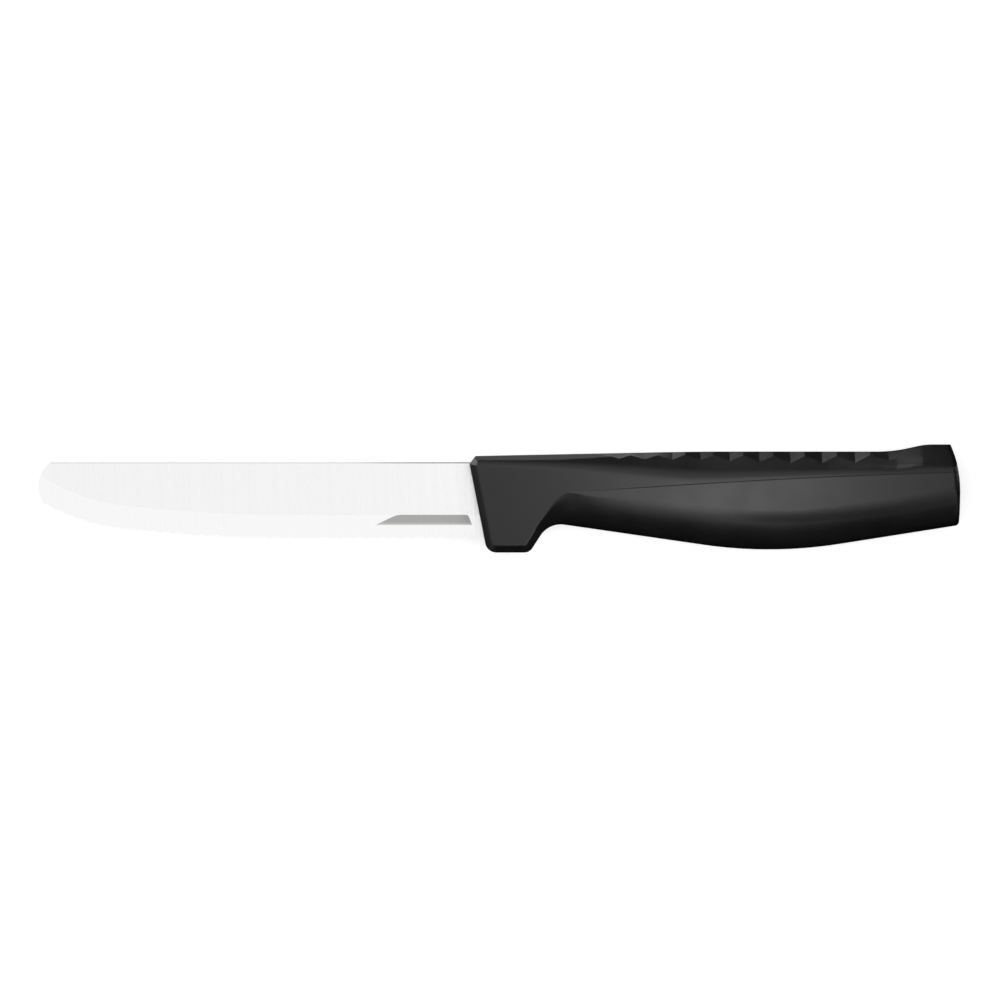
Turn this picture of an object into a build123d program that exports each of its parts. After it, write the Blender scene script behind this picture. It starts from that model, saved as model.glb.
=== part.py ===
from build123d import *
import math
import os

# Tomato knife lying on its side: X runs from the tip of the blade to the butt, Y from the edge to the
# spine, Z through the thickness. The origin is under the middle of the knife, on the surface it lies on.
# Reaches along the handle are measured from its front, heights from the foot of the finger guard.

# Whole knife
blade_reach = 107.8
handle_length = 122.4
handle_thickness = 18.0
butt_height = 27.0
overrun = 1.0                     # how far a cutting shape passes the surface that it cuts

# Back of the handle
front_height = 24.1
crest_height = 25.22
crest_start_share = 0.4583        # where the rising back turns level
crest_start_radius = 980.0
butt_rise_length = 7.95           # from where the level back turns up to the butt's own level
butt_rise_start_radius = 37.0
butt_top_length = 8.65
butt_rise_end_radius = 16.6
nick_length = 1.5                 # small corner cut between the front face and the back
nick_drop = 2.0

# Finger guard and notch
guard_rake = 4.4                  # how far the front face leans back at the foot
guard_foot_end = 15.0
guard_front_radius = 2.8
guard_rear_radius = 2.3
notch_setback = 4.8
notch_height = 7.5
notch_radius = 6.1

# Belly and butt
belly_share = 0.6168
belly_drop = 0.55                 # how far the belly's two straights would meet below the guard's foot
belly_radius = 114.0
butt_foot_inset = 0.2
butt_foot_height = 6.8
butt_foot_radius = 1.0
butt_apex_height = 15.1
butt_top_inset = 2.25
butt_arc_radius = 33.0
butt_rim_width = 1.5              # rounding round the butt

# Bevelled rim of the guard, which grows along the notch into the full round of the belly
rim_width = 1.8
rim_depth = 1.6
rim_bulge_share = 0.12
round_width = 9.6
round_land = 0.6                  # narrow flat left along the middle of the belly
round_bulge_share = 0.55
notch_steps = 9                   # sections along the notch
notch_place_shares = (0, 0.33, 0.54, 0.70, 0.82, 0.91, 1)
notch_width_shares = (0, 0.1, 0.23, 0.43, 0.59, 0.69, 0.79)
notch_depth_shares = (0, 0.22, 0.42, 0.62, 0.76, 0.86, 0.93)
belly_place_shares = (0.1, 0.2, 0.3, 0.6, 0.9)
belly_width_shares = (0.85, 0.895, 0.92, 0.96, 1)
belly_depth_shares = (0.96, 0.985, 1, 1, 1)

# Roof: the slanted bands on both sides of the back, and the round shoulders below them
roof_drop = 6.0
shoulder = 2.0
roof_steps = 20                   # sections along the roof
roof_place_shares = (-0.03, 0.16, 0.33, 0.46, 0.59, 0.74, 0.84, 0.9, 0.945, 1.03)
roof_drop_shares = (0.28, 0.47, 0.74, 0.97, 0.93, 0.86, 0.81, 0.88, 0.95, 0.94)
roof_tilts = (38.0, 38.0, 40.0, 40.0, 40.0, 41.0, 43.0, 46.0, 49.0, 49.0)  # degrees between band and flank
shoulder_shares = (0.3, 0.55, 0.95, 1, 1, 1, 1, 1, 1, 1)
ridge_tilt = 62.0                 # degrees between the flank and the narrow chamfer above a roof band
ridge_shares = (0.55, 0.48, 0.14, 0.08, 0.08, 0.08, 0.08, 0.08, 0.08, 0.08)

# Facets cut in rows along both edges of the back
facet_count = 10
facet_pitch = 8.4                 # between the last two valleys
facet_pitch_growth = 0.23         # how much longer each facet is than the one before
collar_length = 9.5               # from where the facets stop to the butt
last_facet_length = 8.3           # from the last valley to the collar
facet_drop = 2.9
facet_bite = 2.0                  # how far a facet runs in over the back at its deepest
facet_clear = 4.0                 # how far the cutting shape stands out from the facets
peak_place_share = 0.45
peak_drop_share = 0.38
peak_bite_share = 0.2
facet_first_share = 0.4
facet_full_share = 0.7            # part of the row over which the facets grow to full size
facet_last_share = 0.75
collar_bite_share = 0.45

# Parting line between the two shots of the handle, and the rib that carries the soft one
seam_land = 0.15                  # strip of flank between a shoulder and the parting line
crease_land = 0.3                 # strip of flank between the notch's rounding and the parting line
seam_start_reach = 29.5
seam_start_height = 15.25
seam_middle_share = 0.5474
seam_middle_height = 17.7
seam_end_height = 20.1
skin = 3.4                        # soft shot outside the rib
rib_thickness = 8.0

# Blade
stock_thickness = 1.5
spine_height = 22.5
heel_height = 3.5
edge_curve_reach = 65.4           # from the tip to where the straight edge starts to curve
edge_curve_rise = 2.5
tip_curve_reach = 20.3
tip_corner_reach = 1.4
tip_corner_height = 12.1
tip_spine_reach = 3.0
spine_ease = 0.2                  # small chamfer along both edges of the spine
grind_height = 5.8
edge_thickness = 0.36
tooth_pitch = 3.0
tooth_depth = 0.45
gash_tilt = 55.0                  # degrees between the grinding wheel's path and the blade's face

# Tang
heel_seat = 5.0                   # how far the blade's full height runs into the handle
tang_clearance = 34.4             # handle left behind the end of the tang
tang_height = 7.0
tang_foot_height = 11.0
tang_corner_radius = 1.5
tang_end_radius = 3.0
key_hole_radius = 1.8
first_key_reach = 34.0
second_key_inset = 18.0           # from the end of the tang

overall_length = blade_reach + handle_length
crest_start = handle_length * crest_start_share
butt_rise_end = handle_length - butt_top_length
butt_rise_start = butt_rise_end - butt_rise_length
butt_foot_reach = handle_length - butt_foot_inset
belly_reach = handle_length * belly_share
collar_reach = handle_length - collar_length
last_facet_reach = collar_reach - last_facet_length
seam_middle_reach = handle_length * seam_middle_share
tang_length = handle_length - tang_clearance
second_key_reach = tang_length - second_key_inset
half_thickness = handle_thickness / 2
half_stock = stock_thickness / 2
half_edge = edge_thickness / 2
front_x = blade_reach - overall_length / 2
foot_y = -butt_height / 2
middle = Plane.XY.offset(half_thickness)
handle_side = Plane(origin=(front_x, foot_y, half_thickness))
blade_side = Plane(origin=(front_x - blade_reach, foot_y, half_thickness))

os.makedirs("parts", exist_ok=True)


# Outline of the handle, from the front corner along the guard and belly to the butt, and back along the top
lower_corners = [
    (0, front_height - nick_drop),
    (guard_rake, 0),
    (guard_foot_end, 0),
    (guard_foot_end + notch_setback, notch_height),
    (belly_reach, -belly_drop),
    (butt_foot_reach, butt_foot_height),
    (handle_length, butt_apex_height),
]
lower_radii = [guard_front_radius, guard_rear_radius, notch_radius, belly_radius, butt_foot_radius]
upper_corners = [
    (handle_length - butt_top_inset, butt_height),
    (butt_rise_end, butt_height),
    (butt_rise_start, crest_height),
    (crest_start, crest_height),
    (nick_length, front_height),
    (0, front_height - nick_drop),
]
upper_radii = [butt_rise_end_radius, butt_rise_start_radius, crest_start_radius, 0]

with BuildSketch() as handle_outline:
    with BuildLine():
        lower_line = FilletPolyline(*lower_corners, radius=lower_radii)
        RadiusArc(lower_line @ 1, upper_corners[0], -butt_arc_radius)
        FilletPolyline(*upper_corners, radius=upper_radii)
    make_face()

rear_slope, notch_arc, lower_straight, belly_arc, rear_straight = lower_line.edges()[4:9]


def between(place, places, values):
    """Value at a place, in straight lines between the given ones."""
    for a, b, low, high in zip(places, places[1:], values, values[1:]):
        if place <= b:
            return low + (high - low) * (place - a) / (b - a)
    return values[-1]


def smooth_between(place, places, values):
    """Value at a place, on a smooth curve through the given ones."""
    last = len(places) - 1
    at = max(index for index in range(last) if index == 0 or places[index] <= place)

    def slope(index):
        before = max(index - 1, 0)
        after = min(index + 1, last)
        return (values[after] - values[before]) / (places[after] - places[before])

    step = places[at + 1] - places[at]
    t = (place - places[at]) / step
    rise = values[at + 1] - values[at]
    start, end = slope(at) * step, slope(at + 1) * step
    return values[at] + t * (start + t * (3 * rise - 2 * start - end + t * (start + end - 2 * rise)))


def back_height(reach):
    """Height of the back above the guard's foot."""
    reaches = (nick_length, crest_start, butt_rise_start, butt_rise_end, handle_length)
    heights = (front_height, crest_height, crest_height, butt_height, butt_height)
    return between(reach, reaches, heights)


with BuildLine() as seam_line:
    seam = ThreePointArc(
        (seam_start_reach, seam_start_height),
        (seam_middle_reach, seam_middle_height),
        (handle_length + overrun, seam_end_height),
    )


def seam_height(reach):
    """Height of the parting line above the guard's foot."""
    away = reach - seam.arc_center.X
    return seam.arc_center.Y + math.sqrt(seam.radius**2 - away**2)


def roof_drop_at(reach):
    """How far below the back a roof band would meet the flank."""
    return roof_drop * smooth_between(reach / handle_length, roof_place_shares, roof_drop_shares)


def inset_for(drop, reach):
    """How far a roof band of this drop leans in over the handle."""
    tilt = smooth_between(reach / handle_length, roof_place_shares, roof_tilts)
    return drop * math.tan(math.radians(tilt))


def ridge_at(reach):
    """Height of the narrow chamfer above a roof band."""
    return roof_drop_at(reach) * smooth_between(reach / handle_length, roof_place_shares, ridge_shares)


def roof_depth(reach, drop):
    """How far the roof or its ridge stands from the handle's middle, this far below the back."""
    under_ridge = max(drop, ridge_at(reach))
    slope = half_thickness - inset_for(roof_drop_at(reach) - under_ridge, reach)
    return slope - (under_ridge - drop) * math.tan(math.radians(ridge_tilt))


def square_to(edge, share, ahead=0):
    """Plane square to the outline: its X points into the handle, its Y up."""
    along = edge % share
    point = handle_side.from_local_coords(edge @ share + along * ahead)
    return Plane(origin=point, x_dir=(-along.Y, along.X, 0), z_dir=along)


def edge_round(plane, width, depth, bulge):
    """Section of what a rounding takes off the upper edge of the outline."""
    low = half_thickness - depth
    top = half_thickness
    with BuildSketch(plane) as section:
        with BuildLine():
            Bezier((0, low), (0, low + bulge * depth), (width - bulge * width, top), (width, top))
            Polyline(
                (width, top),
                (width, top + overrun),
                (-overrun, top + overrun),
                (-overrun, low),
                (0, low),
            )
        make_face()
    return section.sketch


def round_width_at(share):
    """Width of the rounding, from the guard's rim to the full round of the belly."""
    return rim_width + (round_width - rim_width) * share


def growing_round(plane, width_share, depth_share):
    """Section between the guard's rim and the full round of the belly."""
    return edge_round(
        plane,
        round_width_at(width_share),
        rim_depth + (half_thickness - round_land / 2 - rim_depth) * depth_share,
        rim_bulge_share + (round_bulge_share - rim_bulge_share) * depth_share,
    )


def roof_section(share):
    """Section of what a roof band, its shoulder and its ridge take off the upper edge of the back."""
    reach = handle_length * share
    drop = roof_drop_at(reach)
    seam_drop = back_height(reach) - seam_height(reach)
    widest = shoulder * smooth_between(share, roof_place_shares, shoulder_shares)
    round_off = min(widest, seam_drop - seam_land - drop)
    ridge = ridge_at(reach)
    top = half_thickness
    corner = Vector(drop, top)
    start = Vector(ridge, roof_depth(reach, ridge))
    crown = Vector(0, roof_depth(reach, 0))
    down = (corner - start).normalized()
    place = handle_side.from_local_coords((reach, back_height(reach)))
    with BuildSketch(Plane(origin=place, x_dir=(0, -1, 0), z_dir=(-1, 0, 0))) as section:
        with BuildLine():
            Line(crown, start)
            band = Line(start, corner - down * round_off)
            TangentArc(band @ 1, (drop + round_off, top), tangent=band % 1)
            Polyline(
                (drop + round_off, top),
                (drop + round_off, top + overrun),
                (-overrun, top + overrun),
                (-overrun, crown.Y),
                crown,
            )
        make_face()
    return section.sketch


# What the bevel takes off round the guard and the nick above it
with BuildPart() as rim_cut:
    front_line = Edge.make_line(lower_corners[0], lower_corners[1])
    above_front = front_line @ 0 - (front_line % 0) * overrun
    on_slope = rear_slope @ (1 / 2)
    with BuildLine(handle_side) as rim_path:
        FilletPolyline(
            (above_front.X, above_front.Y),
            *lower_corners[1:3],
            (on_slope.X, on_slope.Y),
            radius=lower_radii[:2],
        )
    sweep(sections=growing_round(square_to(front_line, 0, -overrun), 0, 0), path=rim_path.wires()[0])
    nick_line = Edge.make_line(upper_corners[-2], upper_corners[-1])
    extrude(growing_round(square_to(nick_line, 0, -overrun), 0, 0), amount=nick_line.length + 2 * overrun)
    mirror(about=middle)

# What the growing rounding takes off along the notch, and the full round along the belly
with BuildPart() as belly_cut:
    sections = [growing_round(square_to(rear_slope, 1 / 2), 0, 0)]
    for step in range(notch_steps + 1):
        place = step / notch_steps
        width_share = smooth_between(place, notch_place_shares, notch_width_shares)
        depth_share = smooth_between(place, notch_place_shares, notch_depth_shares)
        sections.append(growing_round(square_to(notch_arc, place), width_share, depth_share))
    for place, width_share, depth_share in zip(belly_place_shares, belly_width_shares, belly_depth_shares):
        sections.append(growing_round(square_to(lower_straight, place), width_share, depth_share))
    loft(sections, ruled=True)
    with BuildLine(handle_side) as belly_path:
        start = lower_straight @ belly_place_shares[-1]
        end = rear_straight @ 1 + (rear_straight % 1) * 4 * overrun
        FilletPolyline((start.X, start.Y), lower_corners[4], (end.X, end.Y), radius=belly_radius)
    full_round = growing_round(square_to(lower_straight, belly_place_shares[-1]), 1, 1)
    sweep(sections=full_round, path=belly_path.wires()[0])
    mirror(about=middle)

# What the roof bands, shoulders and ridges take off
with BuildPart() as roof_cut:
    first, last = roof_place_shares[0], roof_place_shares[-1]
    places = [first + (last - first) * step / roof_steps for step in range(roof_steps + 1)]
    loft([roof_section(place) for place in places], ruled=True)
    mirror(about=middle)


def facet_points(reach, drop, bite):
    """A point on the roof and one on the back above it."""
    height = back_height(reach)
    band = handle_side.from_local_coords((reach, height - drop, roof_depth(reach, drop)))
    back = handle_side.from_local_coords((reach, height, roof_depth(reach, 0) - bite))
    return band, back


# Rows of facets along the back: pairs of triangles between valleys and peaks
first_pitch = facet_pitch - facet_pitch_growth * (facet_count - 1)
row_start = last_facet_reach - facet_count * (first_pitch + facet_pitch) / 2
creases = [facet_points(row_start, 0, 0)]
valley_reach = row_start
for number in range(1, facet_count + 1):
    pitch = first_pitch + facet_pitch_growth * (number - 1)
    grown = number / (facet_count * facet_full_share)
    size_share = min(1, facet_first_share + (1 - facet_first_share) * grown)
    if number == facet_count:
        size_share = facet_last_share
    peak_reach = valley_reach + pitch * peak_place_share
    valley_reach += pitch
    drop = facet_drop * size_share
    bite = facet_bite * size_share
    creases.append(facet_points(peak_reach, drop * peak_drop_share, bite * peak_bite_share))
    creases.append(facet_points(valley_reach, drop, bite))
creases.append(facet_points(collar_reach, facet_drop, facet_bite * collar_bite_share))

facets = [Face(Wire.make_polygon([creases[0][0], creases[1][1], creases[1][0]]))]
for number in range(1, len(creases) - 1):
    near, far = creases[number], creases[number + 1]
    peak, valley = (near, far) if number % 2 else (far, near)
    facets.append(Face(Wire.make_polygon([peak[0], peak[1], valley[0]])))
    facets.append(Face(Wire.make_polygon([peak[1], valley[1], valley[0]])))

with BuildPart() as facet_cut:
    for facet in facets:
        extrude(facet, amount=facet_clear, dir=(0, 1, 1))
    mirror(about=middle)

# What the rounding takes off round the butt
with BuildPart() as butt_cut:
    butt_line = Edge.make_line(lower_corners[-2], lower_corners[-1])
    under_butt = butt_line @ 0 - (butt_line % 0) * overrun
    with BuildLine(handle_side) as butt_path:
        Line((under_butt.X, under_butt.Y), lower_corners[-1])
        RadiusArc(lower_corners[-1], upper_corners[0], -butt_arc_radius)
    butt_wire = butt_path.wires()[0]
    butt_foot = square_to(butt_line, 0, -overrun)
    sweep(sections=edge_round(butt_foot, butt_rim_width, butt_rim_width, round_bulge_share), path=butt_wire)
    mirror(about=middle)

# Whole handle before it is parted into its two shots
with BuildPart() as blank:
    with BuildSketch(handle_side):
        add(handle_outline.sketch)
    extrude(amount=half_thickness, both=True)
    for cut in (rim_cut, belly_cut, roof_cut, facet_cut, butt_cut):
        add(cut.part, mode=Mode.SUBTRACT)

# Side view of everything behind and below the parting line
with BuildSketch() as soft_side:
    with BuildLine():
        crease = []
        for step in range(notch_steps + 1):
            place = step / notch_steps
            plane = square_to(notch_arc, place)
            width = round_width_at(smooth_between(place, notch_place_shares, notch_width_shares))
            point = handle_side.to_local_coords(plane.origin + plane.x_dir * (width + crease_land))
            crease.append((point.X, point.Y))
        down = -(rear_slope % 0)
        inner = Vector(crease[0]) + down * (rear_slope.length + butt_rim_width * 3)
        foot = Line((inner.X, inner.Y), crease[0])
        add(seam)
        Spline(*crease, seam @ 0, tangents=[-down, seam % 0])
        Polyline(seam @ 1, (handle_length + overrun, inner.Y), foot @ 0)
    make_face()

with BuildPart() as soft_region:
    with BuildSketch(handle_side):
        add(soft_side.sketch)
    extrude(amount=half_thickness + overrun, both=True)

# Rib inside the soft shot
with BuildPart() as rib:
    with BuildSketch(handle_side):
        add(handle_outline.sketch)
        offset(amount=-skin, mode=Mode.REPLACE)
        add(soft_side.sketch, mode=Mode.INTERSECT)
    extrude(amount=rib_thickness / 2, both=True)


def seat_reach(height):
    """How far from the tip the full height of the blade ends inside the handle."""
    return blade_reach + heel_seat + guard_rake * (1 - height / (front_height - nick_drop))


def tip_apex_height():
    """Height at which the arc of the tip touches the end of the knife."""
    rise = spine_height - tip_corner_height
    gain = tip_spine_reach - tip_corner_reach
    spread = tip_corner_reach * (tip_spine_reach**2 + rise**2) - tip_spine_reach * tip_corner_reach**2
    root = math.sqrt((tip_corner_reach * rise) ** 2 + gain * spread)
    return tip_corner_height + (root - tip_corner_reach * rise) / gain


# The ground edge, from the handle to the corner of the tip, and on past it
front_at_heel = guard_rake * (1 - heel_height / (front_height - nick_drop))
with BuildLine() as edge_line:
    straight = Line((blade_reach + front_at_heel, heel_height), (edge_curve_reach, heel_height))
    bend = TangentArc(straight @ 1, (tip_curve_reach, heel_height + edge_curve_rise), tangent=straight % 1)
    bow = TangentArc(bend @ 1, (tip_corner_reach, tip_corner_height), tangent=bend % 1)
ground_edge = edge_line.wires()[0]

# What the bevel takes off both faces along the edge
bevel_slope = (half_stock - half_edge) / grind_height
with BuildLine() as bevel_path:
    Line((seat_reach(heel_height) + overrun, heel_height), straight @ 1)
    add(bend)
    add(bow)
    Line(bow @ 1, bow @ 1 + (bow % 1) * grind_height)
with BuildPart() as bevel_cut:
    start = blade_side.from_local_coords((seat_reach(heel_height) + overrun, heel_height))
    with BuildSketch(Plane(origin=start, x_dir=(0, 1, 0), z_dir=(-1, 0, 0))):
        with BuildLine():
            Polyline(
                (grind_height, half_stock),
                (-overrun, half_edge - bevel_slope * overrun),
                (-overrun, half_stock + overrun),
                (grind_height, half_stock + overrun),
                (grind_height, half_stock),
            )
        make_face()
    sweep(path=blade_side.location * bevel_path.wires()[0])
    mirror(about=middle)

# Places of the wheel that grinds the gashes between the teeth, all from the blade's lower face
gash_lean = math.radians(gash_tilt)
gash_radius = (tooth_pitch / 2) ** 2 / (2 * tooth_depth * math.cos(gash_lean))
gash_places = []
for number in range(int(ground_edge.length / tooth_pitch)):
    share = (number + 1 / 2) * tooth_pitch / ground_edge.length
    along = ground_edge % share
    inward = Vector(along.Y, -along.X)
    centre = ground_edge @ share - inward * (gash_radius / math.cos(gash_lean) - tooth_depth)
    origin = blade_side.from_local_coords((centre.X, centre.Y, half_edge))
    axis = Vector(0, 0, math.cos(gash_lean)) - inward * math.sin(gash_lean)
    gash_places.append(Plane(origin=origin, x_dir=along, z_dir=axis))

# Blade with its tang
tang_top = tang_foot_height + tang_height
tang_end = blade_reach + tang_length
key_height = tang_foot_height + tang_height / 2
with BuildPart() as blade:
    with BuildSketch(blade_side):
        with BuildLine():
            Line((seat_reach(heel_height), heel_height), (edge_curve_reach, heel_height))
            add(bend)
            add(bow)
            ThreePointArc(bow @ 1, (0, tip_apex_height()), (tip_spine_reach, spine_height))
            FilletPolyline(
                (tip_spine_reach, spine_height),
                (seat_reach(spine_height), spine_height),
                (seat_reach(tang_top), tang_top),
                (tang_end, tang_top),
                (tang_end, tang_foot_height),
                (seat_reach(tang_foot_height), tang_foot_height),
                (seat_reach(heel_height), heel_height),
                radius=[0, tang_corner_radius, tang_end_radius, tang_end_radius, tang_corner_radius],
            )
        make_face()
        keys = [(blade_reach + reach, key_height) for reach in (first_key_reach, second_key_reach)]
        with Locations(*keys):
            Circle(key_hole_radius, mode=Mode.SUBTRACT)
    extrude(amount=half_stock, both=True)
    spine_y = foot_y + spine_height
    spine_edges = blade.edges().filter_by(Axis.X).filter_by_position(Axis.Y, spine_y, spine_y)
    chamfer(spine_edges, length=spine_ease)
    add(bevel_cut.part, mode=Mode.SUBTRACT)
    with Locations(*gash_places):
        Cylinder(gash_radius, 8 * stock_thickness / math.cos(gash_lean), mode=Mode.SUBTRACT)
blade.part.label = "blade"
export_step(blade.part, "parts/blade.step")

# Hard shot: guard, back, rib and the plugs that key the tang
with BuildPart() as handle_core:
    add(blank.part)
    add(soft_region.part, mode=Mode.SUBTRACT)
    add(rib.part)
    add(blade.part, mode=Mode.SUBTRACT)
handle_core.part.label = "handle_core"
export_step(handle_core.part, "parts/handle_core.step")

# Soft shot: notch, belly and lower flanks round the rib
with BuildPart() as soft_grip:
    add(blank.part)
    add(soft_region.part, mode=Mode.INTERSECT)
    add(rib.part, mode=Mode.SUBTRACT)
soft_grip.part.label = "soft_grip"
export_step(soft_grip.part, "parts/soft_grip.step")
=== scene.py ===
"""Tomato knife: finishes of the blade and the two-shot handle, and the studio that it lies in."""

import math

import bpy
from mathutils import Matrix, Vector


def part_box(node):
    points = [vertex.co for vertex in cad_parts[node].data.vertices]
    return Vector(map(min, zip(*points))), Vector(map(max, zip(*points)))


bl_info = {
    "name": "Tomato Knife Studio",
    "version": (1, 0, 0),
    "blender": (4, 5, 0),
    "location": "View3D > Sidebar > Knife",
    "description": "Finishes a tomato knife's steel and moulded handle and lights it for a picture",
    "category": "Object",
}

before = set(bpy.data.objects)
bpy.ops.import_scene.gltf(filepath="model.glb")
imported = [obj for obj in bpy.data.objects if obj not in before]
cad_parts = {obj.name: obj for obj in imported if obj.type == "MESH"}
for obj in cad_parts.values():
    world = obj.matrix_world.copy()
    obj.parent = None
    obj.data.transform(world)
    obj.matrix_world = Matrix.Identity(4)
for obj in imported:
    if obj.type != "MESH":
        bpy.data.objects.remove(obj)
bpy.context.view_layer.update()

MM = 0.001
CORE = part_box("handle_core")
MIDDLE = CORE[1].z / 2

# Ground lines of the steel, and how the tones of its parts differ from its colour: the ground
# band's lighter tone is a painted highlight and the spine's darker tone is painted shade
LINE_SPACING = 0.22 * MM
LINE_LEAN = 0.05
LINE_CELLS = 60.0
LINE_COARSENESS = 0.16
LINE_HEIGHT_RANGE = (0.25, 0.75)
LINE_TONE_RANGE = (0.3, 0.7)
LINE_BUMP_STRENGTH = 0.016
LINE_BUMP_DEPTH = 0.02 * MM
LINE_TONE = 0.982
GROUND_PAINTED_HIGHLIGHT = 1.03
SPINE_PAINTED_SHADE = 0.68

# Parts of the blade by their normal: the ground band's leans to the edge and the spine's away; they
# pick where the painted highlight and the painted shade go
GROUND_STARTS = (-0.05, -0.08)
GROUND_ENDS = (-0.3, -0.2)
SPINE_STARTS = (0.35, 0.6)
UPPER_FACE = (0.4 * MM, 0.6 * MM)

# Outline of the etched field: run of its slanted end, lean of its blunt end, corners and soft rim
FIELD_SLANT = 5.4 * MM
FIELD_LEAN = 0.4
FIELD_CORNER = 0.9 * MM
FIELD_RIM = 0.06 * MM
FIELD_ROUGHER = 0.25
SATIN_SPREAD = (-0.04, 0.05)

# Grain of the moulded plastics and the slow unevenness of their gloss
GRAIN_RANGE = (0.3, 0.72)
GRAIN_BUMP_STRENGTH = 0.25
GRAIN_BUMP_DEPTH = 0.01 * MM
UNEVEN_CELLS = 120.0
UNEVEN_RANGE = (0.3, 0.7)
UNEVEN_TONE = 1.25

# Wear of proud edges: curvature at which it starts and is full, and how patchy it is
WEAR_CURVATURE = (0.52, 0.62)
WEAR_CELLS = 260.0
WEAR_NOISE_RANGE = (0.35, 0.65)
WEAR_PATCHES = (0.35, 1.0)
WEAR_AMOUNT = 0.5
WEAR_TONE = 1.9
WEAR_POLISH = 0.08

# Parting line of the two shots: three points of its curve and the look of its groove, whose darker
# colour is painted shade
SEAM_POINTS = ((22.2 * MM, 1.75 * MM), (59.7 * MM, 4.2 * MM), (116.1 * MM, 6.6 * MM))
SEAM_WIDTH = 0.18 * MM
SEAM_ONSET = 0.5 * MM
SEAM_GROWTH = 16.0 * MM
SEAM_FAINTEST = 0.3
SEAM_PAINTED_SHADE = 0.5
SEAM_ROUGHER = 0.4
SEAM_DEPTH = 14.0

# Ridge above the parting line, which tilts up to the collar
RIDGE_HEIGHT = 2.4 * MM
RIDGE_BOW = 56.0
RIDGE_START = 84.0 * MM
RIDGE_FULL = 102.0 * MM

# Rounding of both shots just before the butt's outline, an arc bowed along the knife
BUTT_END = 115.1 * MM
BUTT_MIDDLE = 0.4 * MM
BUTT_BOW = 13.0
BUTT_FALL = 0.6 * MM
BUTT_REACH = 0.9 * MM

# Shoulder of the soft shot in mm: its line, the share of an upright distance that lies across
# that line, and how far the shot dips behind it
SHOULDER_START = 6.0 * MM
SHOULDER_LENGTH = 112.0 * MM
SHOULDER_LOW = -14.0 * MM
SHOULDER_RISE = 20.0 * MM
SHOULDER_REACH = 4.0 * MM
SHOULDER_LINE = (
    (6.3, -11.8),
    (8.6, -8.2),
    (9.6, -6.3),
    (11.7, -3.45),
    (13.5, -0.9),
    (15.6, 0.7),
    (17.3, 1.4),
    (19.0, 1.3),
    (22.0, 0.7),
    (28.0, 0.1),
    (39.0, -0.6),
    (49.0, -1.5),
    (58.0, -2.2),
    (70.0, -2.8),
    (84.0, -1.9),
    (116.0, 3.5),
)
SHOULDER_ACROSS = (
    (6.3, 0.57),
    (12.0, 0.58),
    (14.0, 0.72),
    (16.0, 0.9),
    (18.0, 1.0),
    (116.0, 1.0),
)
SHOULDER_DIP = (
    (6.8, 0.0),
    (8.5, 0.45),
    (11.0, 0.65),
    (17.0, 0.75),
    (21.0, 0.55),
    (26.0, 0.24),
    (31.0, 0.08),
    (36.0, 0.02),
    (46.0, 0.02),
    (55.0, 0.12),
    (62.0, 0.3),
    (72.0, 0.48),
    (80.0, 0.46),
    (92.0, 0.37),
    (116.0, 0.28),
)
CREASE_ENDS = (20.0 * MM, 42.0 * MM)

# Floor, world and camera; the cards that lie down are just above the floor
FLOOR_SIZE = 8.0
FLOOR_LEVEL = -0.05 * MM
CARD_LEVEL = -0.02 * MM
FLOOR_ROUGHNESS = 0.9
FLOOR_GLOW = 0.6
WORLD_LIGHT = 0.45
WORLD_SEEN = 1.0
SENSOR_WIDTH = 36.0
CLIP_END = 100.0
PICTURE_MIDDLE = (0.3125 * MM, -0.3875 * MM)

# Low lamps along the back, each aimed ahead of itself at the facets
FACET_LAMPS = 3
FACET_LAMP_START = 0.022
FACET_LAMP_STEP = 0.022
FACET_LAMP_LEAD = 0.032

# Black cards: name, corner, and the two sides that start there
CARDS = (
    ("back_card", (0.03, 0.09, 0.0), (0.13, 0.0, 0.0), (0.0, 0.0, 0.06)),
    ("back_low_card", (-0.03, 0.09, 0.0), (0.06, 0.0, 0.0), (0.0, 0.0, 0.046)),
    ("end_card", (0.136, -0.12, 0.10), (0.0, 0.24, 0.0), (0.15, 0.0, 0.06)),
    ("front_card", (-0.014, -0.034, 0.0), (0.145, 0.0, 0.0), (0.0, 0.0, 0.055)),
    ("left_card", (-0.20, -0.25, 0.0), (0.0, 0.33, 0.0), (0.0, 0.0, 0.09)),
    ("left_floor_card", (-0.20, -0.10, CARD_LEVEL), (0.19, 0.0, 0.0), (0.0, 0.105, 0.0)),
    ("right_card", (0.20, -0.1, 0.0), (0.0, 0.19, 0.0), (0.0, 0.0, 0.10)),
    ("belly_card", (-0.03, -0.10, CARD_LEVEL), (0.23, 0.0, 0.0), (0.0, 0.108, 0.0)),
    ("back_floor_card", (0.045, 0.016, CARD_LEVEL), (0.155, 0.0, 0.0), (0.0, 0.074, 0.0)),
    ("far_floor_card", (-0.03, 0.035, CARD_LEVEL), (0.075, 0.0, 0.0), (0.0, 0.055, 0.0)),
)


# ---------------------------------------------------------------- settings


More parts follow.
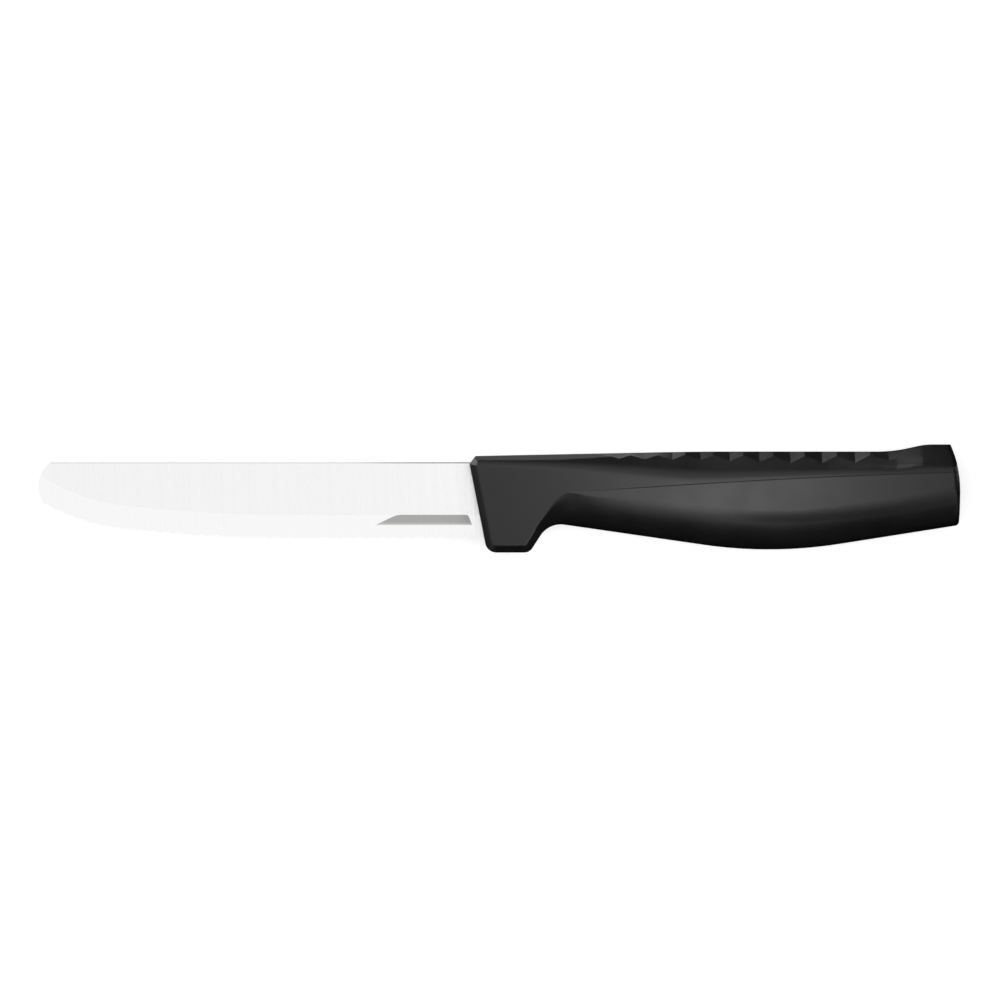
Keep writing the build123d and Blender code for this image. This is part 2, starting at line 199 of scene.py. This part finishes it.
class BladeSettings(bpy.types.PropertyGroup):
    """Finish of the steel."""

    steel_color: bpy.props.FloatVectorProperty(
        name="Steel",
        description="Colour of the satin steel",
        subtype="COLOR",
        size=3,
        min=0,
        max=1,
        default=(0.905, 0.905, 0.91),
    )
    field_color: bpy.props.FloatVectorProperty(
        name="Etched field",
        description="Colour of the plain grey field near the handle",
        subtype="COLOR",
        size=3,
        min=0,
        max=1,
        default=(0.425, 0.425, 0.417),
    )
    satin: bpy.props.FloatProperty(
        name="Satin",
        description="Roughness of the blade's faces",
        subtype="FACTOR",
        min=0,
        max=1,
        default=0.25,
    )
    field_start: bpy.props.FloatProperty(
        name="Field start",
        description="Place of the field's sharp end along the knife",
        unit="LENGTH",
        default=-30.9 * MM,
    )
    field_end: bpy.props.FloatProperty(
        name="Field end",
        description="Place of the field's blunt end along the knife",
        unit="LENGTH",
        default=-6.6 * MM,
    )
    field_low: bpy.props.FloatProperty(
        name="Field foot",
        description="Height of the field's lower side",
        unit="LENGTH",
        default=-6.65 * MM,
    )
    field_high: bpy.props.FloatProperty(
        name="Field top",
        description="Height of the field's upper side",
        unit="LENGTH",
        default=-4.05 * MM,
    )


class HandleSettings(bpy.types.PropertyGroup):
    """Finish of the two plastics."""

    hard_color: bpy.props.FloatVectorProperty(
        name="Hard plastic",
        description="Colour of the first shot",
        subtype="COLOR",
        size=3,
        min=0,
        max=1,
        default=(0.0045, 0.0046, 0.0050),
    )
    soft_color: bpy.props.FloatVectorProperty(
        name="Soft plastic",
        description="Colour of the second shot",
        subtype="COLOR",
        size=3,
        min=0,
        max=1,
        default=(0.0050, 0.0050, 0.0052),
    )
    grain_size: bpy.props.FloatProperty(
        name="Grain",
        description="Size of the moulded grain",
        unit="LENGTH",
        default=0.28 * MM,
    )


class StageSettings(bpy.types.PropertyGroup):
    """Floor and camera."""

    floor_color: bpy.props.FloatVectorProperty(
        name="Floor",
        description="Colour of the floor",
        subtype="COLOR",
        size=3,
        min=0,
        max=1,
        default=(0.8, 0.8, 0.8),
    )
    picture_width: bpy.props.FloatProperty(
        name="Picture width",
        description="Width of the picture at the middle of the knife",
        unit="LENGTH",
        default=250.0 * MM,
    )
    camera_height: bpy.props.FloatProperty(
        name="Camera height",
        description="Height of the camera above the knife",
        unit="LENGTH",
        default=3.0,
    )


# ---------------------------------------------------------------- shader helpers


class Tree:
    """Short ways to lay out one node tree."""

    def __init__(self, tree):
        self.tree = tree
        self.nodes = tree.nodes
        self.links = tree.links

    def node(self, kind, **settings):
        made = self.nodes.new(kind)
        for name, value in settings.items():
            setattr(made, name, value)
        return made

    def feed(self, socket, value):
        """Links or sets an input."""
        if isinstance(value, bpy.types.NodeSocket):
            self.links.new(value, socket)
        else:
            socket.default_value = value

    def math(self, operation, first, second=None, third=None):
        made = self.node("ShaderNodeMath", operation=operation)
        for socket, value in zip(made.inputs, (first, second, third)):
            if value is not None:
                self.feed(socket, value)
        return made.outputs[0]

    def product(self, first, *others):
        for other in others:
            first = self.math("MULTIPLY", first, other)
        return first

    def clipped(self, value, high=1.0):
        """The value, no lower than 0 and no higher than the limit."""
        return self.math("MINIMUM", self.math("MAXIMUM", value, 0.0), high)

    def between(self, value, low, high, to_low=0.0, to_high=1.0):
        """Smooth ramp of a value from one range to another."""
        made = self.node("ShaderNodeMapRange", interpolation_type="SMOOTHSTEP")
        for socket, each in zip(made.inputs, (value, low, high, to_low, to_high)):
            self.feed(socket, each)
        return made.outputs[0]

    def mix(self, share, first, second):
        """Blend of two colours, each a socket or three numbers."""
        made = self.node("ShaderNodeMix", data_type="RGBA")
        self.feed(made.inputs["Factor"], share)
        for socket, value in ((made.inputs[6], first), (made.inputs[7], second)):
            if not isinstance(value, bpy.types.NodeSocket):
                value = (*value, 1)
            self.feed(socket, value)
        return made.outputs[2]

    def curve(self, value, points):
        """Smooth curve through a few points; both axes run from 0 to 1."""
        made = self.node("ShaderNodeFloatCurve")
        line = made.mapping.curves[0]
        line.points[0].location = points[0]
        line.points[1].location = points[-1]
        for place, height in points[1:-1]:
            line.points.new(place, height)
        made.mapping.update()
        self.feed(made.inputs["Value"], value)
        return made.outputs[0]

    def noise(self, place, cells, detail, roughness):
        """Noise with a number of cells for each unit of its place."""
        made = self.node("ShaderNodeTexNoise")
        self.feed(made.inputs["Vector"], place)
        self.feed(made.inputs["Scale"], cells)
        made.inputs["Detail"].default_value = detail
        made.inputs["Roughness"].default_value = roughness
        return made.outputs[0]

    def split(self, vector):
        """The three parts of a vector."""
        made = self.node("ShaderNodeSeparateXYZ")
        self.feed(made.inputs[0], vector)
        return made.outputs

    def bump(self, height, strength, distance, normal=None):
        made = self.node("ShaderNodeBump")
        made.inputs["Strength"].default_value = strength
        made.inputs["Distance"].default_value = distance
        self.feed(made.inputs["Height"], height)
        if normal is not None:
            self.feed(made.inputs["Normal"], normal)
        return made.outputs[0]

    def group(self, name, **values):
        made = self.node("ShaderNodeGroup", node_tree=bpy.data.node_groups[name])
        for socket, value in values.items():
            self.feed(made.inputs[socket], value)
        return made.outputs


def new_group(name, inputs, outputs):
    """Starts a shader node group with named sockets; returns its tree, inputs and outputs."""
    tree = bpy.data.node_groups.new(name, "ShaderNodeTree")
    for socket, kind, default in inputs:
        made = tree.interface.new_socket(socket, in_out="INPUT", socket_type=kind)
        if default is not None:
            made.default_value = default
    for socket in outputs:
        tree.interface.new_socket(socket, in_out="OUTPUT", socket_type="NodeSocketFloat")
    t = Tree(tree)
    return t, t.node("NodeGroupInput").outputs, t.node("NodeGroupOutput").inputs


def moulded_grain_group():
    """Fine spark-eroded grain of a moulded plastic: a height and a slow unevenness."""
    t, given, out = new_group(
        "Moulded Grain",
        [("Place", "NodeSocketVector", None), ("Size", "NodeSocketFloat", 0.3 * MM)],
        ["Height", "Unevenness"],
    )
    cells = t.math("DIVIDE", 1.0, given["Size"])
    fine = t.noise(given["Place"], cells, detail=3.0, roughness=0.6)
    slow = t.noise(given["Place"], UNEVEN_CELLS, detail=3.0, roughness=0.55)
    t.feed(out["Height"], t.between(fine, *GRAIN_RANGE))
    t.feed(out["Unevenness"], t.between(slow, *UNEVEN_RANGE))


def edge_wear_group():
    """Where edges stand proud and catch hands and cloths."""
    t, given, out = new_group(
        "Edge Wear",
        [("Place", "NodeSocketVector", None), ("Amount", "NodeSocketFloat", WEAR_AMOUNT)],
        ["Mask"],
    )
    curvature = t.node("ShaderNodeNewGeometry").outputs["Pointiness"]
    proud = t.between(curvature, *WEAR_CURVATURE)
    noise = t.noise(given["Place"], WEAR_CELLS, detail=4.0, roughness=0.6)
    patchy = t.between(noise, *WEAR_NOISE_RANGE, *WEAR_PATCHES)
    t.feed(out["Mask"], t.product(proud, patchy, given["Amount"]))


def parting_line_group():
    """Fine groove where the two shots meet along the flank, and the fall of the ridge above it; the
    groove's mask also places painted shade in the plastic's colour.
    """
    t, given, out = new_group(
        "Parting Line",
        [("Place", "NodeSocketVector", None), ("Width", "NodeSocketFloat", SEAM_WIDTH)],
        ["Mask", "Ridge Fall"],
    )
    (x0, y0), (x1, y1), (x2, y2) = SEAM_POINTS
    rise = (y1 - y0) / (x1 - x0)
    bow = ((y2 - y1) / (x2 - x1) - rise) / (x2 - x0)
    x, y, _ = t.split(given["Place"])
    along = t.math("SUBTRACT", x, x0)
    slope = t.math("ADD", t.product(t.math("SUBTRACT", x, x1), bow), rise)
    above = t.math("SUBTRACT", y, t.math("ADD", t.product(along, slope), y0))

    ridge = t.clipped(above, RIDGE_HEIGHT)
    near_butt = t.between(x, RIDGE_START, RIDGE_FULL)
    t.feed(out["Ridge Fall"], t.product(ridge, ridge, -RIDGE_BOW, near_butt))

    line = t.between(t.math("ABSOLUTE", above), 0.0, given["Width"], 1.0, 0.0)
    behind_start = t.between(along, -SEAM_ONSET, SEAM_ONSET)
    grown = t.between(along, 0.0, SEAM_GROWTH, SEAM_FAINTEST, 1.0)
    t.feed(out["Mask"], t.product(line, behind_start, grown))


def soft_shoulder_group():
    """How far the soft shot dips behind the notch's crease and along the start of the belly."""
    t, given, out = new_group(
        "Soft Shoulder",
        [("Place", "NodeSocketVector", None), ("Reach", "NodeSocketFloat", SHOULDER_REACH)],
        ["Height"],
    )
    x, y, _ = t.split(given["Place"])
    share = t.math("DIVIDE", t.math("SUBTRACT", x, SHOULDER_START), SHOULDER_LENGTH)

    def along(points):
        """The points with their places in mm turned into shares of the shoulder's length."""
        return [((x_mm * MM - SHOULDER_START) / SHOULDER_LENGTH, value) for x_mm, value in points]

    shares = [(x_mm, (y_mm * MM - SHOULDER_LOW) / SHOULDER_RISE) for x_mm, y_mm in SHOULDER_LINE]
    line = t.math("MULTIPLY_ADD", t.curve(share, along(shares)), SHOULDER_RISE, SHOULDER_LOW)
    away = t.product(t.math("SUBTRACT", line, y), t.curve(share, along(SHOULDER_ACROSS)))

    # Creased next to the notch: the dip starts steep. Rounded along the belly: it starts flat.
    left = t.clipped(t.math("SUBTRACT", 1.0, t.math("DIVIDE", away, given["Reach"])))
    creased = t.math("SUBTRACT", t.product(left, left), 1.0)
    rounded = t.between(away, 0.0, given["Reach"], 0.0, -1.0)
    crease_share = t.between(x, *CREASE_ENDS, 1.0, 0.0)
    sharper = t.product(t.math("SUBTRACT", creased, rounded), crease_share)
    fallen = t.math("ADD", rounded, sharper)
    t.feed(out["Height"], t.product(fallen, t.curve(share, along(SHOULDER_DIP)), MM))


def end_rounding_group():
    """How far both shots fall away just before the butt's outline."""
    t, given, out = new_group(
        "End Rounding",
        [("Place", "NodeSocketVector", None), ("Reach", "NodeSocketFloat", BUTT_REACH)],
        ["Height"],
    )
    x, y, _ = t.split(given["Place"])
    high = t.math("ADD", y, BUTT_MIDDLE)
    outline = t.math("SUBTRACT", BUTT_END, t.product(high, high, BUTT_BOW))
    left = t.math("DIVIDE", t.math("SUBTRACT", outline, x), given["Reach"])
    near = t.clipped(t.math("SUBTRACT", 1.0, left))
    t.feed(out["Height"], t.product(near, near, -BUTT_FALL))


def ground_lines_group():
    """Fine lines left by a belt that ran across the blade, from spine to edge."""
    t, given, out = new_group(
        "Ground Lines",
        [
            ("Place", "NodeSocketVector", None),
            ("Spacing", "NodeSocketFloat", LINE_SPACING),
            ("Lean", "NodeSocketFloat", LINE_LEAN),
        ],
        ["Height", "Tone"],
    )
    x, y, z = t.split(given["Place"])
    across = t.math("ADD", x, t.product(y, given["Lean"]))
    join = t.node("ShaderNodeCombineXYZ")
    t.feed(join.inputs[0], t.math("DIVIDE", across, given["Spacing"]))
    t.feed(join.inputs[1], t.product(y, LINE_CELLS))
    t.feed(join.inputs[2], t.product(z, LINE_CELLS))
    fine = t.noise(join.outputs[0], 1.0, detail=3.0, roughness=0.6)
    coarse = t.noise(join.outputs[0], LINE_COARSENESS, detail=3.0, roughness=0.55)
    t.feed(out["Height"], t.between(fine, *LINE_HEIGHT_RANGE))
    t.feed(out["Tone"], t.between(coarse, *LINE_TONE_RANGE))


def start_material(name):
    """A material with its tree and its Principled BSDF."""
    material = bpy.data.materials.new(name)
    material.use_nodes = True
    t = Tree(material.node_tree)
    return material, t, t.nodes["Principled BSDF"]


def toned(color, factor):
    """A colour made darker or lighter, but never brighter than white."""
    return tuple(min(1.0, channel * factor) for channel in color)


# ---------------------------------------------------------------- pieces


def dress(node, material):
    """Gives a CAD node its material."""
    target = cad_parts[node]
    for slot in target.material_slots:
        slot.material = material
    if not target.material_slots:
        target.data.materials.append(material)


def etched_field(t, place, look):
    """One inside the plain grey field on the blade's upper face."""
    x, y, z = t.split(place)
    slope = (look.field_high - look.field_low) / FIELD_SLANT
    below_top = t.math("SUBTRACT", look.field_high, y)
    above_foot = t.math("SUBTRACT", y, look.field_low)
    slant = t.product(t.math("SUBTRACT", x, look.field_start), slope)
    under_slant = t.math("SUBTRACT", t.math("ADD", slant, look.field_low), y)
    before_end = t.math("SUBTRACT", look.field_end, x)
    before_end = t.math("SUBTRACT", before_end, t.product(above_foot, FIELD_LEAN))
    inside = t.math("SMOOTH_MIN", below_top, under_slant, FIELD_CORNER)
    inside = t.math("SMOOTH_MIN", inside, before_end, FIELD_CORNER)
    field = t.between(t.math("MINIMUM", inside, above_foot), 0.0, FIELD_RIM)
    upper_face = t.between(z, *(MIDDLE + height for height in UPPER_FACE))
    return t.product(field, upper_face)


class KNIFE_OT_blade_finish(bpy.types.Operator):
    """Satin steel with ground lines, a plain etched field, a painted highlight on the ground edge
    and painted shade on the spine
    """

    bl_idname = "knife.blade_finish"
    bl_label = "Blade finish"

    def execute(self, context):
        look = context.scene.knife_blade
        material, t, bsdf = start_material("Satin Blade Steel")
        place = t.node("ShaderNodeTexCoord").outputs["Object"]
        lines = t.group("Ground Lines", Place=place, Spacing=LINE_SPACING, Lean=LINE_LEAN)
        field = etched_field(t, place, look)

        turn = t.split(t.node("ShaderNodeNewGeometry").outputs["True Normal"])[1]
        # Painted highlight on the ground band and painted shade on the spine: lighter and darker
        # copies of the steel's colour, picked by which way each face turns
        ground = t.product(t.between(turn, *GROUND_STARTS), t.between(turn, *GROUND_ENDS))
        spine = t.between(turn, *SPINE_STARTS)
        steel = t.mix(lines["Tone"], look.steel_color, toned(look.steel_color, LINE_TONE))
        steel = t.mix(ground, steel, toned(look.steel_color, GROUND_PAINTED_HIGHLIGHT))
        steel = t.mix(spine, steel, toned(look.steel_color, SPINE_PAINTED_SHADE))
        t.feed(bsdf.inputs["Base Color"], t.mix(field, steel, look.field_color))
        bsdf.inputs["Metallic"].default_value = 1.0

        smoothest, roughest = (look.satin + spread for spread in SATIN_SPREAD)
        satin = t.between(lines["Height"], 0.0, 1.0, smoothest, roughest)
        rougher = t.product(field, FIELD_ROUGHER)
        t.feed(bsdf.inputs["Roughness"], t.math("ADD", satin, rougher))
        normal = t.bump(lines["Height"], LINE_BUMP_STRENGTH, LINE_BUMP_DEPTH)
        t.feed(bsdf.inputs["Normal"], normal)
        dress("blade", material)
        return {"FINISHED"}


def plastic(name, color, grain_size, rough, spread, sheen, soft):
    """Charcoal moulded plastic with grain, worn edges, slow unevenness of its gloss and painted
    shade in the parting line's groove.
    """
    material, t, bsdf = start_material(name)
    place = t.node("ShaderNodeTexCoord").outputs["Object"]
    grain = t.group("Moulded Grain", Place=place, Size=grain_size)
    wear = t.group("Edge Wear", Place=place, Amount=WEAR_AMOUNT)["Mask"]
    parting = t.group("Parting Line", Place=place, Width=SEAM_WIDTH)
    seam_and_painted_shade = parting["Mask"]

    base = t.mix(grain["Unevenness"], color, toned(color, UNEVEN_TONE))
    base = t.mix(wear, base, toned(color, WEAR_TONE))
    # The parting line's groove is painted darker: painted shade in the groove
    t.feed(bsdf.inputs["Base Color"], t.mix(seam_and_painted_shade, base, toned(color, SEAM_PAINTED_SHADE)))

    gloss = t.between(grain["Unevenness"], 0.0, 1.0, rough - spread, rough + spread)
    gloss = t.math("SUBTRACT", gloss, t.product(wear, WEAR_POLISH))
    t.feed(bsdf.inputs["Roughness"], t.math("ADD", gloss, t.product(seam_and_painted_shade, SEAM_ROUGHER)))
    bsdf.inputs["Specular IOR Level"].default_value = sheen

    # The two heights are in metres, so their bump has a strength and a distance of one
    fallen = t.group("End Rounding", Place=place, Reach=BUTT_REACH)["Height"]
    if soft:
        lower = t.group("Soft Shoulder", Place=place, Reach=SHOULDER_REACH)["Height"]
    else:
        lower = parting["Ridge Fall"]
    shape = t.bump(t.math("ADD", fallen, lower), 1.0, 1.0)
    relief = t.math("SUBTRACT", grain["Height"], t.product(seam_and_painted_shade, SEAM_DEPTH))
    normal = t.bump(relief, GRAIN_BUMP_STRENGTH, GRAIN_BUMP_DEPTH, shape)
    t.feed(bsdf.inputs["Normal"], normal)
    return material


class KNIFE_OT_hard_shot(bpy.types.Operator):
    """Satin charcoal plastic of the handle's core"""

    bl_idname = "knife.hard_shot"
    bl_label = "Hard shot"

    def execute(self, context):
        look = context.scene.knife_handle
        material = plastic(
            "Hard Charcoal Plastic",
            look.hard_color,
            look.grain_size,
            rough=0.40,
            spread=0.02,
            sheen=0.39,
            soft=False,
        )
        dress("handle_core", material)
        return {"FINISHED"}


class KNIFE_OT_soft_shot(bpy.types.Operator):
    """Duller soft-touch plastic of the belly and the notch"""

    bl_idname = "knife.soft_shot"
    bl_label = "Soft shot"

    def execute(self, context):
        look = context.scene.knife_handle
        material = plastic(
            "Soft Charcoal Plastic",
            look.soft_color,
            look.grain_size,
            rough=0.44,
            spread=0.02,
            sheen=0.47,
            soft=True,
        )
        dress("soft_grip", material)
        return {"FINISHED"}


# ---------------------------------------------------------------- stage


def seen_rays(t):
    """One for the rays that look at the backdrop: the camera's, mirrored and passed on ones."""
    rays = t.node("ShaderNodeLightPath").outputs
    both = t.math("MAXIMUM", rays["Is Camera Ray"], rays["Is Transmission Ray"])
    return t.math("MAXIMUM", both, rays["Is Glossy Ray"])


def new_plane(name, size):
    """A square plane on the ground, selected alone."""
    bpy.ops.object.select_all(action="DESELECT")
    bpy.ops.mesh.primitive_plane_add(size=size)
    made = bpy.context.active_object
    made.name = name
    return made


def card(name, corner, along, up):
    """Black card that only shows in the knife's sheen."""
    made = new_plane(name, 2.0)
    corner, along, up = Vector(corner), Vector(along), Vector(up)
    places = (corner, corner + along, corner + up, corner + along + up)
    for vertex, place in zip(made.data.vertices, places):
        vertex.co = place
    material, _, bsdf = start_material(name)
    bsdf.inputs["Base Color"].default_value = (0.0, 0.0, 0.0, 1)
    bsdf.inputs["Specular IOR Level"].default_value = 0.0
    bsdf.inputs["Roughness"].default_value = 1.0
    made.data.materials.append(material)
    made.visible_camera = False
    made.visible_diffuse = False
    made.visible_shadow = False


def lamp(name, place, target, size, power, spread=180.0, glossy=True):
    """Rectangular lamp, with its power in watts and its spread in degrees."""
    light = bpy.data.lights.new(name, "AREA")
    light.shape = "RECTANGLE"
    light.size, light.size_y = size
    light.energy = power
    light.spread = math.radians(spread)
    made = bpy.data.objects.new(name, light)
    bpy.context.scene.collection.objects.link(made)
    made.location = place
    aim = Vector(target) - Vector(place)
    made.rotation_euler = aim.to_track_quat("-Z", "Y").to_euler()
    made.visible_camera = False
    made.visible_glossy = glossy


def lay_floor(color):
    """Plain pale floor that glows for the rays that see it and keeps the knife's shadow."""
    floor = new_plane("floor", FLOOR_SIZE)
    for vertex in floor.data.vertices:
        vertex.co.z = FLOOR_LEVEL
    material, t, bsdf = start_material("Floor")
    bsdf.inputs["Base Color"].default_value = (*color, 1)
    bsdf.inputs["Roughness"].default_value = FLOOR_ROUGHNESS
    glow = t.node("ShaderNodeEmission")
    glow.inputs["Color"].default_value = (1, 1, 1, 1)
    glow.inputs["Strength"].default_value = FLOOR_GLOW
    add = t.node("ShaderNodeAddShader")
    mix = t.node("ShaderNodeMixShader")
    t.feed(add.inputs[0], bsdf.outputs[0])
    t.feed(add.inputs[1], glow.outputs[0])
    t.feed(mix.inputs[0], seen_rays(t))
    t.feed(mix.inputs[1], bsdf.outputs[0])
    t.feed(mix.inputs[2], add.outputs[0])
    t.feed(t.nodes["Material Output"].inputs["Surface"], mix.outputs[0])
    floor.data.materials.append(material)


def light_world(scene):
    """White world, brighter for the rays that see it than for the light that it gives."""
    world = bpy.data.worlds.new("Studio")
    world.use_nodes = True
    scene.world = world
    t = Tree(world.node_tree)
    back = t.nodes["Background"]
    back.inputs["Color"].default_value = (1, 1, 1, 1)
    strength = t.between(seen_rays(t), 0.0, 1.0, WORLD_LIGHT, WORLD_SEEN)
    t.feed(back.inputs["Strength"], strength)


def hang_lamps():
    """Soft light from above, and small low lamps for the facets, the collar and the guard."""
    lamp("overhead", (0.0, 0.0, 0.9), (0.0, 0.0, 0.0), (0.7, 0.5), power=2.6, glossy=False)
    lamp("middle", (0.058, 0.0, 0.10), (0.058, 0.0, 0.0), (0.05, 0.05), power=0.026)
    for number in range(FACET_LAMPS):
        start = FACET_LAMP_START + FACET_LAMP_STEP * number
        lamp(
            "facets_%d" % number,
            (start, 0.055, 0.004),
            (start + FACET_LAMP_LEAD, 0.012, 0.0145),
            (0.02, 0.004),
            power=0.0013,
            spread=45,
        )
    lamp(
        "collar",
        (0.088, 0.055, 0.004),
        (0.100, 0.012, 0.0145),
        (0.02, 0.004),
        power=0.00013,
        spread=26,
    )
    lamp(
        "nick",
        (-0.092, 0.094, 0.029),
        (-0.008, 0.01, 0.015),
        (0.02, 0.02),
        power=0.00175,
        spread=30,
    )
    lamp("guard", (0.014, 0.022, 0.055), (0.014, 0.022, 0.0), (0.04, 0.012), power=0.0014)


def place_camera(scene, look):
    """Camera that looks straight down, with the picture's width at the knife's middle."""
    camera = bpy.data.cameras.new("camera")
    camera.sensor_width = SENSOR_WIDTH
    camera.lens = SENSOR_WIDTH * look.camera_height / look.picture_width
    camera.clip_end = CLIP_END
    made = bpy.data.objects.new("camera", camera)
    scene.collection.objects.link(made)
    made.location = (*PICTURE_MIDDLE, MIDDLE + look.camera_height)
    made.rotation_euler = (0, 0, 0)
    scene.camera = made


class KNIFE_OT_studio(bpy.types.Operator):
    """Pale floor, soft lamps and a camera that looks straight down on the knife"""

    bl_idname = "knife.studio"
    bl_label = "Studio"

    def execute(self, context):
        scene = context.scene
        look = scene.knife_stage
        lay_floor(look.floor_color)
        light_world(scene)
        hang_lamps()
        for sides in CARDS:
            card(*sides)
        place_camera(scene, look)
        scene.view_settings.view_transform = "Standard"
        return {"FINISHED"}


class KNIFE_PT_panel(bpy.types.Panel):
    """Lists the knife's finishes and its studio"""

    bl_label = "Tomato Knife"
    bl_idname = "KNIFE_PT_panel"
    bl_space_type = "VIEW_3D"
    bl_region_type = "UI"
    bl_category = "Knife"

    def draw(self, context):
        layout = self.layout
        scene = context.scene
        for settings in (scene.knife_blade, scene.knife_handle, scene.knife_stage):
            column = layout.column()
            for name in settings.__annotations__:
                column.prop(settings, name)
        for operator in OPERATORS:
            layout.operator(operator.bl_idname)


SETTINGS = (BladeSettings, HandleSettings, StageSettings)
OPERATORS = (KNIFE_OT_blade_finish, KNIFE_OT_hard_shot, KNIFE_OT_soft_shot, KNIFE_OT_studio)


def register():
    for each in (*SETTINGS, *OPERATORS, KNIFE_PT_panel):
        bpy.utils.register_class(each)
    bpy.types.Scene.knife_blade = bpy.props.PointerProperty(type=BladeSettings)
    bpy.types.Scene.knife_handle = bpy.props.PointerProperty(type=HandleSettings)
    bpy.types.Scene.knife_stage = bpy.props.PointerProperty(type=StageSettings)


def unregister():
    del bpy.types.Scene.knife_stage
    del bpy.types.Scene.knife_handle
    del bpy.types.Scene.knife_blade
    for each in reversed((*SETTINGS, *OPERATORS, KNIFE_PT_panel)):
        bpy.utils.unregister_class(each)


def main():
    register()
    moulded_grain_group()
    edge_wear_group()
    parting_line_group()
    soft_shoulder_group()
    end_rounding_group()
    ground_lines_group()
    bpy.ops.knife.blade_finish()
    bpy.ops.knife.hard_shot()
    bpy.ops.knife.soft_shot()
    bpy.ops.knife.studio()


if __name__ == "__main__":
    main()
